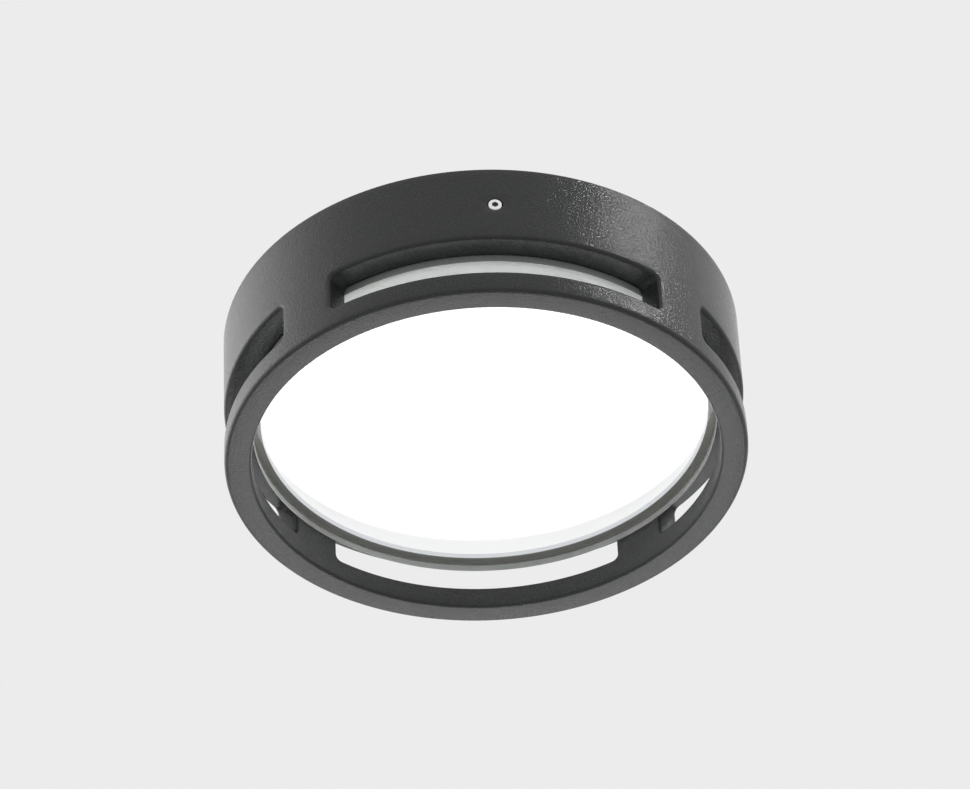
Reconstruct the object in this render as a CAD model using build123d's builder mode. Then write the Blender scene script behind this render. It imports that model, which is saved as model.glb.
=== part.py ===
from build123d import *

import os
from math import cos, pi, radians, sin, tan

# Outdoor ceiling light, in millimetres.
# The origin is the centre of the ceiling face and +Z points up, so everything hangs below z = 0.
# A cast drum with four windows hangs round a light engine that ends in a thick glass disc.
# Angles go anticlockwise seen from above; -90 degrees is the side of the front screw.

os.makedirs("parts", exist_ok=True)

# Whole light
drum_diameter = 260.0
shadow_gap = 1.5

# Clearances that the fits share
slip_gap = 0.2
running_gap = 0.3
seat_gap = 0.05
thread_play = 0.05
cut_overrun = 3.0

# Drum: thick lower ring with the windows, thin sleeve above it
ring_wall = 13.45
sleeve_wall = 5.5
window_count = 4
window_sill = 12.4
window_height = 21.4
window_corner = 3.0
window_outer_round = 2.0
window_inner_round = 1.7
post_angle = 14.1
lintel_height = 4.2
lower_outer_round = 2.3
lower_inner_round = 1.7
drum_top_round = 1.0
drum_boss_radius = 5.5
drum_boss_reach = 5.5

# Side screws, M4 with a cylinder head
side_screw_count = 3
side_pad_gap = 1.8
cap_head_radius = 3.5
cap_head_height = 4.0
cap_socket_width = 3.0
cap_socket_depth = 2.2
cap_head_bevel = 0.35
m4_radius = 2.0
side_screw_length = 8.0
head_clearance = 0.35
head_recess = 0.2
seal_ring_thickness = 1.0
seal_ring_outer = 3.3

# Glass, and the silicone that holds it
glass_gap = 0.55
glass_thickness = 12.0
glass_rise = 22.2
glass_arris = 0.7
bond_width = 4.0
bond_thickness = 0.8
bond_inset = 0.3

# Glass frame and its six button head screws
frame_shelf = 1.6
frame_collar = 2.4
frame_height = 13.5
frame_screw_count = 6
frame_screw_inset = 4.5
frame_screw_length = 6.0
frame_tap_depth = 3.8
button_head_radius = 3.8
button_head_height = 2.2
button_socket_width = 2.5
button_socket_depth = 1.3
button_seat = 0.1

# O-ring between frame and housing
seal_cord = 2.0
seal_groove_width = 2.9
seal_groove_depth = 1.9
seal_inset = 2.8

# Housing of the light engine
plate_gap = 5.0
roof = 4.0
skirt = 3.2
rim_wall = 4.4
rim_gap = 1.5
housing_round = 2.5
lug_radius = 4.2
lug_inset = 7.0
lug_count = 3
lug_height = 10.0
pad_radius = 5.0
post_radius = 5.0
post_inset = 20.2
tapped_depth = 10.0
roof_tap_depth = 3.0

# Mounting plate and its seal
plate_thickness = 4.0
plate_margin = 2.5
plate_opening_radius = 30.0
ceiling_hole_inset = 32.5
ceiling_hole_radius = 2.75
ceiling_hole_count = 4
seal_width = 6.0
seal_depth = 2.0
seal_margin = 8.5
plate_screw_length = 13.0

# Cable grommet and breather plug
grommet_bore_radius = 4.5
grommet_neck_radius = 8.0
grommet_flange_radius = 11.0
grommet_flange = 2.0
breather_inset = 30.2
breather_angle = 10.0
breather_radius = 6.0
breather_head_radius = 8.0
breather_head = 3.0
breather_stem = 6.0

# Terminal block on the underside of the roof
terminal_poles = 3
terminal_spacing = 12.0
terminal_width = 22.0
terminal_tray_gap = 2.0
terminal_end = 3.5
terminal_place_share = 0.39
terminal_round = 1.0
terminal_well_radius = 3.2
terminal_well_depth = 5.0
wire_hole_radius = 1.9
wire_hole_depth = 7.0
m3_radius = 1.5
m3_head_radius = 2.7
m3_head_height = 2.4
m4_head_radius = 3.6
m4_head_height = 2.6
slot_width = 0.8
slot_depth = 1.0
pan_round = 0.8
terminal_row_share = 0.27
terminal_screw_length = 2.0
terminal_wire_rise = 8.5
block_screw_length = 12.6
block_screw_sink = 3.0

# Earth point
earth_gap = 16.5
earth_lug_radius = 4.5
earth_lug_thickness = 0.8
earth_tongue_length = 12.0
earth_tongue_width = 4.0
earth_screw_length = 3.5

# Gear tray
tray_gap = 3.2
tray_thickness = 2.0
tray_flange = 4.0
tray_wire_hole_radius = 5.0
tray_screw_length = 10.0

# Driver on the back of the tray
driver_length = 100.0
driver_tab = 8.0
driver_width = 46.0
driver_height = 15.0
driver_headroom = 0.5
driver_place_share = 0.42
driver_round = 2.5
driver_tab_thickness = 3.0
driver_screw_length = 4.8
driver_wire_depth = 3.0
driver_wire_drop = 20.0
mains_wire_x = -27.0
led_wire_x = 20.0

# Light board
board_inset = 8.0
board_thickness = 1.6
board_hole_radius = 6.0
board_clear_radius = 5.5
package_width = 2.8
package_length = 3.5
package_height = 0.7
package_ring_spacing = 14.0
package_edge = 6.0
packages_per_ring = 6
board_screw_row_share = 3.5
board_screw_count = 6
board_screw_length = 3.4
connector_length = 9.0
connector_width = 6.0
connector_height = 4.2
connector_x = 21.0

# Reflector and diffuser
light_space = 11.7
diffuser_thickness = 3.0
diffuser_lift = 0.6
ring_foot = 0.5
ring_foot_reach = 0.8
reflector_wall = 1.4
reflector_gap = 4.0
reflector_foot = 2.2

# Inner wires
wire_radius = 1.1
wire_bend = 5.0
wire_gap = 3.2
wire_seat = 2.0
wire_run = 14.0

# Places worked out from the sizes above, first the levels from the ceiling down
plate_bottom_z = -plate_thickness
lug_bottom_z = plate_bottom_z - lug_height
housing_top_z = plate_bottom_z - plate_gap
roof_z = housing_top_z - roof
tray_top_z = roof_z - driver_headroom - driver_height
tray_bottom_z = tray_top_z - tray_thickness
board_bottom_z = tray_bottom_z - board_thickness
diffuser_top_z = tray_bottom_z - light_space
diffuser_bottom_z = diffuser_top_z - diffuser_thickness
glass_top_z = diffuser_bottom_z - diffuser_lift
glass_bottom_z = glass_top_z - glass_thickness
lower_edge_z = glass_bottom_z - glass_rise
drum_top_z = -shadow_gap
sill_z = lower_edge_z + window_sill
head_z = sill_z + window_height
ledge_z = head_z + lintel_height
frame_bottom_z = glass_top_z + bond_thickness
frame_floor_z = frame_bottom_z + frame_shelf
frame_top_z = frame_bottom_z + frame_height
frame_screw_z = frame_top_z - frame_screw_inset
frame_seal_z = frame_floor_z + seal_inset
rim_top_z = tray_bottom_z - rim_gap
side_screw_z = frame_top_z + pad_radius + side_pad_gap

# Radii from the drum inwards
drum_radius = drum_diameter / 2
ring_bore = drum_radius - ring_wall
sleeve_bore = drum_radius - sleeve_wall
side_seat_radius = drum_radius - head_recess - cap_head_height - seal_ring_thickness
side_head_radius = side_seat_radius + seal_ring_thickness
side_tip_radius = side_head_radius - side_screw_length
drum_boss_face = sleeve_bore - drum_boss_reach
pad_face = side_tip_radius - running_gap
lug_circle_radius = sleeve_bore - lug_inset
plate_radius = lug_circle_radius + m4_radius + plate_margin
ceiling_hole_circle_radius = plate_radius - ceiling_hole_inset
glass_radius = ring_bore - glass_gap
bond_bore = glass_radius - bond_width
frame_bore = glass_radius - frame_collar
skirt_radius = frame_bore - slip_gap
skirt_bore = skirt_radius - skirt
rim_bore = skirt_radius - rim_wall
diffuser_radius = rim_bore - running_gap
post_circle_radius = skirt_bore - post_inset
breather_circle_radius = skirt_bore - breather_inset
tray_radius = skirt_bore - tray_gap
board_radius = tray_radius - board_inset
reflector_top_radius = board_radius + reflector_gap
package_rings = int((board_radius - package_edge) / package_ring_spacing)
board_screw_circle_radius = package_ring_spacing * board_screw_row_share

# Places of the gear in the housing
terminal_height = driver_height - terminal_tray_gap
terminal_length = terminal_poles * terminal_spacing + terminal_end * 2
terminal_y = tray_radius * terminal_place_share
earth_x = terminal_length / 2 + earth_gap
earth_y = terminal_y
driver_y = -tray_radius * driver_place_share

# Angles
half_window = (360 / window_count - post_angle) / 2
section_angle = 180 / window_count
side_names = ["front", "right", "left"]
side_angles = [-90 + 360 / side_screw_count * i for i in range(side_screw_count)]
lug_angle = -90 + 180 / lug_count
post_start_angle = 90


def radial_plane(angle, radius, z):
    """Plane square to the radius at an angle, facing outwards."""
    outward = (cos(radians(angle)), sin(radians(angle)), 0)
    sideways = (-sin(radians(angle)), cos(radians(angle)), 0)
    return Plane(origin=(outward[0] * radius, outward[1] * radius, z), x_dir=sideways, z_dir=outward)


def section_plane():
    """Upright half plane through the axis in the middle of a post, for turned profiles."""
    a = radians(section_angle)
    return Plane(origin=(0, 0, 0), x_dir=(cos(a), sin(a), 0), z_dir=(sin(a), -cos(a), 0))


def socket_screw(shank_radius, length, head, socket):
    """Hex socket screw: the head (radius, height, edge) stands on z = 0 and the shank goes down."""
    with BuildPart() as made:
        Cylinder(head[0], head[1], align=(Align.CENTER, Align.CENTER, Align.MIN))
        chamfer(made.edges().group_by(Axis.Z)[-1], head[2])
        with BuildSketch(Plane.XY.offset(head[1])):
            RegularPolygon(socket[0] / 2, 6, major_radius=False)
        extrude(amount=-socket[1], mode=Mode.SUBTRACT)
        Cylinder(shank_radius, length, align=(Align.CENTER, Align.CENTER, Align.MAX))
    return made.part


def slotted_screw(shank_radius, length, head_radius, head_height):
    """Slotted pan head screw: the head stands on z = 0 and the shank goes down."""
    with BuildPart() as made:
        Cylinder(head_radius, head_height, align=(Align.CENTER, Align.CENTER, Align.MIN))
        fillet(made.edges().group_by(Axis.Z)[-1], pan_round)
        with BuildSketch(Plane.XY.offset(head_height)):
            Rectangle(head_radius * 2, slot_width)
        extrude(amount=-slot_depth, mode=Mode.SUBTRACT)
        Cylinder(shank_radius, length, align=(Align.CENTER, Align.CENTER, Align.MAX))
    return made.part


def under(x, y, z):
    """Plane at a place that faces down, for screws driven from below."""
    return Plane(origin=(x, y, z), x_dir=(1, 0, 0), z_dir=(0, 0, -1))


def around(circle, count, start):
    """Places spread evenly on a circle, as x and y pairs."""
    turns = [radians(start + 360 / count * i) for i in range(count)]
    return [(circle * cos(t), circle * sin(t)) for t in turns]


def save(builder, name):
    """Label a finished piece and write it to its own file."""
    builder.part.label = name
    export_step(builder.part, f"parts/{name}.step")


def mouth_edges(part, radius):
    """Edges of the window openings that lie on a cylinder of this radius."""
    found = []
    for edge in part.edges():
        box = edge.bounding_box()
        inside = box.min.Z > sill_z - slip_gap and box.max.Z < head_z + slip_gap
        middle = edge @ 0.5
        start = edge @ 0.25
        on_wall = all(abs(Vector(p.X, p.Y, 0).length - radius) < seat_gap for p in (middle, start))
        if inside and on_wall:
            found.append(edge)
    return found


# Mounting plate: pressed steel disc with a groove for the foam seal
with BuildPart() as mounting_plate:
    with BuildSketch(Plane.XY.offset(plate_bottom_z)):
        Circle(plate_radius)
        Circle(plate_opening_radius, mode=Mode.SUBTRACT)
        with PolarLocations(ceiling_hole_circle_radius, ceiling_hole_count, start_angle=section_angle):
            Circle(ceiling_hole_radius, mode=Mode.SUBTRACT)
        with PolarLocations(lug_circle_radius, lug_count, start_angle=lug_angle):
            Circle(m4_radius + thread_play, mode=Mode.SUBTRACT)
    extrude(amount=plate_thickness)
    with BuildSketch(Plane.XY.offset(-seal_depth)):
        Circle(plate_radius - seal_margin)
        Circle(plate_radius - seal_margin - seal_width, mode=Mode.SUBTRACT)
    extrude(amount=seal_depth, mode=Mode.SUBTRACT)
save(mounting_plate, "mounting_plate")

# Ceiling seal: closed-cell foam, pressed flush into the groove
with BuildPart() as ceiling_seal:
    with BuildSketch(Plane.XY.offset(-seal_depth)):
        Circle(plate_radius - seal_margin - slip_gap)
        Circle(plate_radius - seal_margin - seal_width + slip_gap, mode=Mode.SUBTRACT)
    extrude(amount=seal_depth)
save(ceiling_seal, "ceiling_seal")

# Engine housing: die-cast bowl, open downwards, with lugs, pads and tray posts cast on
with BuildPart() as engine_housing:
    with BuildSketch(section_plane()):
        with BuildLine():
            Polyline(
                (0, housing_top_z),
                (skirt_radius, housing_top_z),
                (skirt_radius, frame_floor_z),
                (rim_bore, frame_floor_z),
                (rim_bore, rim_top_z),
                (skirt_bore, rim_top_z + skirt_bore - rim_bore),
                (skirt_bore, roof_z),
                (0, roof_z),
                close=True,
            )
        make_face()
    revolve(axis=Axis.Z)
    top_ring = engine_housing.edges().filter_by(GeomType.CIRCLE).group_by(Axis.Z)[-1]
    fillet(top_ring, housing_round)
    with BuildSketch(Plane.XY.offset(lug_bottom_z)):
        with PolarLocations(lug_circle_radius, lug_count, start_angle=lug_angle):
            Circle(lug_radius)
        with PolarLocations((skirt_bore + skirt / 2 + lug_circle_radius) / 2, lug_count, start_angle=lug_angle):
            Rectangle(lug_circle_radius - skirt_bore - skirt / 2, lug_radius * 2)
    extrude(amount=lug_height)
    for angle in side_angles:
        with BuildSketch(radial_plane(angle, skirt_bore + skirt / 2, side_screw_z)):
            Circle(pad_radius)
        extrude(amount=pad_face - skirt_bore - skirt / 2)
    with BuildSketch(Plane.XY.offset(tray_top_z)):
        with PolarLocations(post_circle_radius, lug_count, start_angle=post_start_angle):
            Circle(post_radius)
    extrude(amount=roof_z - tray_top_z)
    with BuildSketch(Plane.XY.offset(tray_top_z)):
        with PolarLocations(post_circle_radius, lug_count, start_angle=post_start_angle):
            Circle(m4_radius + thread_play)
    extrude(amount=tapped_depth, mode=Mode.SUBTRACT)
    with BuildSketch(Plane.XY.offset(lug_bottom_z)):
        with PolarLocations(lug_circle_radius, lug_count, start_angle=lug_angle):
            Circle(m4_radius + slip_gap)
    extrude(amount=lug_height, mode=Mode.SUBTRACT)
    with BuildSketch(Plane.XY.offset(roof_z)):
        Circle(grommet_neck_radius)
        with PolarLocations(breather_circle_radius, 1, start_angle=breather_angle):
            Circle(breather_radius + thread_play)
    extrude(amount=roof, mode=Mode.SUBTRACT)
    with BuildSketch(Plane.XY.offset(roof_z)):
        with Locations((earth_x, earth_y)):
            Circle(m4_radius + thread_play)
        with Locations((-terminal_spacing / 2, terminal_y), (terminal_spacing / 2, terminal_y)):
            Circle(m3_radius + thread_play)
    extrude(amount=roof_tap_depth, mode=Mode.SUBTRACT)
    with BuildSketch(section_plane()):
        with Locations((skirt_radius, frame_seal_z)):
            Rectangle(seal_groove_depth * 2, seal_groove_width)
    revolve(axis=Axis.Z, mode=Mode.SUBTRACT)
    for i in range(frame_screw_count):
        tap_end = skirt_radius - frame_tap_depth
        with BuildSketch(radial_plane(360 / frame_screw_count * i, tap_end, frame_screw_z)):
            Circle(m4_radius + thread_play)
        extrude(amount=frame_tap_depth + cut_overrun, mode=Mode.SUBTRACT)
save(engine_housing, "engine_housing")

# Drum: cast sleeve with a thick lower ring, turned profile first
with BuildPart() as window_cutter:
    with BuildSketch(Plane.XY.offset(sill_z)):
        near_x = ring_bore / 2
        far_x = drum_radius + cut_overrun
        spread = tan(radians(half_window))
        with BuildLine():
            Polyline(
                (near_x, -near_x * spread),
                (far_x, -far_x * spread),
                (far_x, far_x * spread),
                (near_x, near_x * spread),
                close=True,
            )
        make_face()
    extrude(amount=window_height)
    flanks = [e for e in window_cutter.edges() if abs(e.tangent_at(0.5).Z) < 0.5 and abs(e.center().Y) > near_x / 2]
    fillet(flanks, window_corner)

with BuildPart() as drum:
    with BuildSketch(section_plane()):
        with BuildLine():
            Polyline(
                (ring_bore, lower_edge_z),
                (drum_radius, lower_edge_z),
                (drum_radius, drum_top_z),
                (sleeve_bore, drum_top_z),
                (sleeve_bore, ledge_z),
                (ring_bore, ledge_z),
                close=True,
            )
        make_face()
    revolve(axis=Axis.Z)
    rings = drum.edges().filter_by(GeomType.CIRCLE)
    lowest = rings.group_by(Axis.Z)[0].sort_by(SortBy.RADIUS)
    fillet(lowest[-1], lower_outer_round)
    fillet(drum.edges().filter_by(GeomType.CIRCLE).group_by(Axis.Z)[0].sort_by(SortBy.RADIUS)[0], lower_inner_round)
    fillet(drum.edges().filter_by(GeomType.CIRCLE).group_by(Axis.Z)[-1].sort_by(SortBy.RADIUS)[-1], drum_top_round)
    for angle in side_angles:
        with BuildSketch(radial_plane(angle, drum_boss_face, side_screw_z)):
            Circle(drum_boss_radius)
        extrude(amount=drum_radius - drum_boss_face - sleeve_wall / 2)
    with PolarLocations(0, window_count):
        add(window_cutter.part, mode=Mode.SUBTRACT)
    fillet(mouth_edges(drum.part, drum_radius), window_outer_round)
    fillet(mouth_edges(drum.part, ring_bore), window_inner_round)
    for angle in side_angles:
        with BuildSketch(radial_plane(angle, side_seat_radius, side_screw_z)):
            Circle(cap_head_radius + head_clearance)
        extrude(amount=drum_radius - side_seat_radius + cut_overrun, mode=Mode.SUBTRACT)
        with BuildSketch(radial_plane(angle, drum_boss_face - cut_overrun, side_screw_z)):
            Circle(m4_radius + thread_play)
        extrude(amount=side_seat_radius - drum_boss_face + cut_overrun * 2, mode=Mode.SUBTRACT)
save(drum, "drum")

# Side screws and their O-rings, one of each through every drum boss
side_bolt = socket_screw(
    m4_radius,
    side_screw_length,
    (cap_head_radius, cap_head_height, cap_head_bevel),
    (cap_socket_width, cap_socket_depth),
)
for name, angle in zip(side_names, side_angles):
    with BuildPart() as side_screw:
        with Locations(radial_plane(angle, side_head_radius, side_screw_z)):
            add(side_bolt)
    save(side_screw, f"side_screw_{name}")

    with BuildPart() as screw_seal:
        with BuildSketch(radial_plane(angle, side_seat_radius + seat_gap, side_screw_z)):
            Circle(seal_ring_outer)
            Circle(m4_radius + running_gap, mode=Mode.SUBTRACT)
        extrude(amount=seal_ring_thickness - seat_gap * 2)
    save(screw_seal, f"screw_seal_{name}")

# Plate screws: three cap screws up through the housing lugs into the plate
plate_bolt = socket_screw(
    m4_radius,
    plate_screw_length,
    (cap_head_radius, cap_head_height, cap_head_bevel),
    (cap_socket_width, cap_socket_depth),
)
with BuildPart() as plate_screws:
    with Locations(*[under(x, y, lug_bottom_z) for x, y in around(lug_circle_radius, lug_count, lug_angle)]):
        add(plate_bolt)
save(plate_screws, "plate_screws")

# Cable grommet: rubber, gripping the roof between its two flanges
with BuildPart() as cable_grommet:
    with BuildSketch(Plane.XZ):
        with BuildLine():
            Polyline(
                (grommet_bore_radius, housing_top_z + grommet_flange),
                (grommet_flange_radius, housing_top_z + grommet_flange),
                (grommet_flange_radius, housing_top_z),
                (grommet_neck_radius, housing_top_z),
                (grommet_neck_radius, roof_z),
                (grommet_flange_radius, roof_z),
                (grommet_flange_radius, roof_z - grommet_flange),
                (grommet_bore_radius, roof_z - grommet_flange),
                close=True,
            )
        make_face()
    revolve(axis=Axis.Z)
save(cable_grommet, "cable_grommet")

# Breather plug: lets the housing breathe through its roof
with BuildPart() as breather_plug:
    with BuildSketch(Plane.XY.offset(housing_top_z)):
        with PolarLocations(breather_circle_radius, 1, start_angle=breather_angle):
            Circle(breather_head_radius)
    extrude(amount=breather_head)
    fillet(breather_plug.edges().group_by(Axis.Z)[-1], pan_round)
    with BuildSketch(Plane.XY.offset(housing_top_z)):
        with PolarLocations(breather_circle_radius, 1, start_angle=breather_angle):
            Circle(breather_radius)
    extrude(amount=-breather_stem)
    with BuildSketch(Plane.XY.offset(housing_top_z - breather_stem)):
        with PolarLocations(breather_circle_radius, 1, start_angle=breather_angle):
            Circle(breather_radius / 2)
    extrude(amount=breather_stem, mode=Mode.SUBTRACT)
save(breather_plug, "breather_plug")

# Terminal block: three poles, a clamp screw on each side of every pole
terminal_bottom_z = roof_z - terminal_height
well_floor_z = terminal_bottom_z + terminal_well_depth
terminal_wire_z = terminal_bottom_z + terminal_wire_rise
terminal_row = terminal_width * terminal_row_share
pole_places = [
    (terminal_spacing * i, terminal_y + terminal_row * side)
    for i in (-1, 0, 1)
    for side in (-1, 1)
]
block_screw_places = [(-terminal_spacing / 2, terminal_y), (terminal_spacing / 2, terminal_y)]
with BuildPart() as terminal_block:
    with BuildSketch(Plane.XY.offset(terminal_bottom_z)):
        with Locations((0, terminal_y)):
            RectangleRounded(terminal_length, terminal_width, terminal_round)
    extrude(amount=terminal_height)
    with BuildSketch(Plane.XY.offset(terminal_bottom_z)):
        with Locations(*pole_places):
            Circle(terminal_well_radius)
    extrude(amount=terminal_well_depth, mode=Mode.SUBTRACT)
    with BuildSketch(Plane.XY.offset(terminal_bottom_z)):
        with Locations(*block_screw_places):
            Circle(terminal_well_radius)
    extrude(amount=block_screw_sink, mode=Mode.SUBTRACT)
    with BuildSketch(Plane.XY.offset(terminal_bottom_z)):
        with Locations(*block_screw_places):
            Circle(m3_radius + slip_gap)
    extrude(amount=terminal_height, mode=Mode.SUBTRACT)
    with BuildSketch(Plane.XY.offset(terminal_bottom_z)):
        with Locations(*pole_places):
            Circle(m3_radius + thread_play)
    extrude(amount=terminal_wire_rise, mode=Mode.SUBTRACT)
    for side in (-1, 1):
        face_y = terminal_y + terminal_width / 2 * side
        with BuildSketch(Plane(origin=(0, face_y, terminal_wire_z), x_dir=(1, 0, 0), z_dir=(0, side, 0))):
            with GridLocations(terminal_spacing, 0, terminal_poles, 1):
                Circle(wire_hole_radius)
        extrude(amount=-wire_hole_depth, mode=Mode.SUBTRACT)
save(terminal_block, "terminal_block")

# Terminal screws: six clamp screws in the wells
clamp_screw = slotted_screw(m3_radius, terminal_screw_length, m3_head_radius, m3_head_height)
with BuildPart() as terminal_screws:
    with Locations(*[under(x, y, well_floor_z) for x, y in pole_places]):
        add(clamp_screw)
save(terminal_screws, "terminal_screws")

# Block screws: hold the terminal block to the roof
long_screw = slotted_screw(m3_radius, block_screw_length, m3_head_radius, m3_head_height)
with BuildPart() as block_screws:
    with Locations(*[under(x, y, terminal_bottom_z + block_screw_sink) for x, y in block_screw_places]):
        add(long_screw)
save(block_screws, "block_screws")

# Earth lug: tinned tongue that lies on the roof under the earth screw
with BuildPart() as earth_lug:
    with BuildSketch(Plane.XY.offset(roof_z - earth_lug_thickness)):
        with Locations((earth_x, earth_y)):
            Circle(earth_lug_radius)
        with Locations((earth_x, earth_y - earth_tongue_length / 2)):
            Rectangle(earth_tongue_width, earth_tongue_length)
        with Locations((earth_x, earth_y)):
            Circle(m4_radius + slip_gap, mode=Mode.SUBTRACT)
    extrude(amount=earth_lug_thickness)
save(earth_lug, "earth_lug")

# Earth screw
earth_bolt = slotted_screw(m4_radius, earth_screw_length, m4_head_radius, m4_head_height)
with BuildPart() as earth_screw:
    with Locations(under(earth_x, earth_y, roof_z - earth_lug_thickness)):
        add(earth_bolt)
save(earth_screw, "earth_screw")

# Gear tray: pressed aluminium dish with an upturned rim, driver on top and light board below
driver_screw_places = [
    (-(driver_length + driver_tab) / 2, driver_y),
    ((driver_length + driver_tab) / 2, driver_y),
]
board_screw_places = around(board_screw_circle_radius, board_screw_count, 0)
tray_screw_places = around(post_circle_radius, lug_count, post_start_angle)
with BuildPart() as gear_tray:
    with BuildSketch(Plane.XY.offset(tray_bottom_z)):
        Circle(tray_radius)
    extrude(amount=tray_thickness + tray_flange)
    with BuildSketch(Plane.XY.offset(tray_top_z)):
        Circle(tray_radius - tray_thickness)
    extrude(amount=tray_flange, mode=Mode.SUBTRACT)
    with BuildSketch(Plane.XY.offset(tray_bottom_z)):
        Circle(tray_wire_hole_radius)
        with Locations(*tray_screw_places):
            Circle(m4_radius + slip_gap)
        with Locations(*driver_screw_places, *board_screw_places):
            Circle(m3_radius + thread_play)
    extrude(amount=tray_thickness, mode=Mode.SUBTRACT)
save(gear_tray, "gear_tray")

# Tray screws: up through the tray into the housing posts
tray_bolt = slotted_screw(m4_radius, tray_screw_length, m4_head_radius, m4_head_height)
with BuildPart() as tray_screws:
    with Locations(*[under(x, y, tray_bottom_z) for x, y in tray_screw_places]):
        add(tray_bolt)
save(tray_screws, "tray_screws")

# Driver: sealed constant-current box with a screw tab at each end
driver_front_y = driver_y + driver_width / 2
driver_wire_z = -driver_wire_drop
mains_wire_places = [mains_wire_x - wire_gap, mains_wire_x + wire_gap]
led_wire_places = [led_wire_x - wire_gap / 2, led_wire_x + wire_gap / 2]
with BuildPart() as led_driver:
    with BuildSketch(Plane.XY.offset(tray_top_z)):
        with Locations((0, driver_y)):
            RectangleRounded(driver_length, driver_width, driver_round)
    extrude(amount=driver_height)
    with BuildSketch(Plane.XY.offset(tray_top_z)):
        with Locations((0, driver_y)):
            Rectangle(driver_length + driver_tab * 2, driver_width / 2)
    extrude(amount=driver_tab_thickness)
    with BuildSketch(Plane.XY.offset(tray_top_z)):
        with Locations(*driver_screw_places):
            Circle(m3_radius + slip_gap)
    extrude(amount=driver_tab_thickness, mode=Mode.SUBTRACT)
    with BuildSketch(Plane(origin=(0, driver_front_y, 0), x_dir=(-1, 0, 0), z_dir=(0, 1, 0))):
        for x in mains_wire_places + led_wire_places:
            with Locations((-x, driver_wire_z)):
                Circle(wire_radius + slip_gap)
    extrude(amount=-driver_wire_depth, mode=Mode.SUBTRACT)
save(led_driver, "led_driver")

# Driver screws
driver_bolt = slotted_screw(m3_radius, driver_screw_length, m3_head_radius, m3_head_height)
with BuildPart() as driver_screws:
    with Locations(*[Plane.XY.offset(tray_top_z + driver_tab_thickness) * Pos(x, y) for x, y in driver_screw_places]):
        add(driver_bolt)
save(driver_screws, "driver_screws")

# Light board: aluminium core, cleared round the tray screws
with BuildPart() as led_board:
    with BuildSketch(Plane.XY.offset(board_bottom_z)):
        Circle(board_radius)
        Circle(board_hole_radius, mode=Mode.SUBTRACT)
        with Locations(*tray_screw_places):
            Circle(board_clear_radius, mode=Mode.SUBTRACT)
        with Locations(*board_screw_places):
            Circle(m3_radius + slip_gap, mode=Mode.SUBTRACT)
    extrude(amount=board_thickness)
save(led_board, "led_board")

# Light packages: rings of small square parts soldered under the board
with BuildPart() as led_packages:
    for ring in range(1, package_rings + 1):
        count = ring * packages_per_ring
        with BuildSketch(Plane.XY.offset(board_bottom_z)):
            with PolarLocations(package_ring_spacing * ring, count, start_angle=180 / count):
                Rectangle(package_width, package_length)
        extrude(amount=-package_height)
save(led_packages, "led_packages")

# Connector on the light board, fed from the centre hole
connector_wire_z = board_bottom_z - connector_height / 2
with BuildPart() as led_connector:
    with BuildSketch(Plane.XY.offset(board_bottom_z)):
        with Locations((connector_x, 0)):
            Rectangle(connector_width, connector_length)
    extrude(amount=-connector_height)
    face_x = connector_x - connector_width / 2
    with BuildSketch(Plane(origin=(face_x, 0, connector_wire_z), x_dir=(0, -1, 0), z_dir=(-1, 0, 0))):
        with GridLocations(wire_gap, 0, 2, 1):
            Circle(wire_radius + slip_gap)
    extrude(amount=-driver_wire_depth, mode=Mode.SUBTRACT)
save(led_connector, "led_connector")

# Board screws
board_bolt = slotted_screw(m3_radius, board_screw_length, m3_head_radius, m3_head_height)
with BuildPart() as board_screws:
    with Locations(*[under(x, y, board_bottom_z) for x, y in board_screw_places]):
        add(board_bolt)
save(board_screws, "board_screws")

# Mains leads: two from the terminal block to the driver, one to the earth lug
terminal_face_y = terminal_y - terminal_width / 2
lead_start_y = terminal_face_y + wire_seat
lug_wire_z = roof_z - earth_lug_thickness - wire_radius - seat_gap
tongue_end_y = earth_y - earth_tongue_length
mains_routes = []
for i, x in enumerate(mains_wire_places):
    pole_x = terminal_spacing * (i - 1)
    turn_y = terminal_face_y - wire_run - wire_gap * i
    mains_routes.append([
        (pole_x, lead_start_y, terminal_wire_z),
        (pole_x, turn_y, terminal_wire_z),
        (x, turn_y, driver_wire_z),
        (x, driver_front_y - wire_seat, driver_wire_z),
    ])
mains_routes.append([
    (terminal_spacing, lead_start_y, terminal_wire_z),
    (terminal_spacing, tongue_end_y - wire_run, terminal_wire_z),
    (earth_x, tongue_end_y - wire_run, lug_wire_z),
    (earth_x, tongue_end_y + wire_seat, lug_wire_z),
])
with BuildPart() as mains_leads:
    for route in mains_routes:
        with BuildLine() as path:
            FilletPolyline(*route, radius=wire_bend)
        with BuildSketch(Plane(origin=path.line @ 0, z_dir=path.line % 0)):
            Circle(wire_radius)
        sweep(path=path.line)
save(mains_leads, "mains_leads")

# Light leads: from the driver down through tray and board to the connector
with BuildPart() as led_leads:
    for x in led_wire_places:
        side_y = x - led_wire_x
        with BuildLine() as path:
            FilletPolyline(
                (x, driver_front_y - wire_seat, driver_wire_z),
                (x, side_y, driver_wire_z),
                (0, side_y, driver_wire_z),
                (0, side_y, connector_wire_z),
                (face_x + wire_seat, side_y, connector_wire_z),
                radius=wire_bend,
            )
        with BuildSketch(Plane(origin=path.line @ 0, z_dir=path.line % 0)):
            Circle(wire_radius)
        sweep(path=path.line)
save(led_leads, "led_leads")

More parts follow.
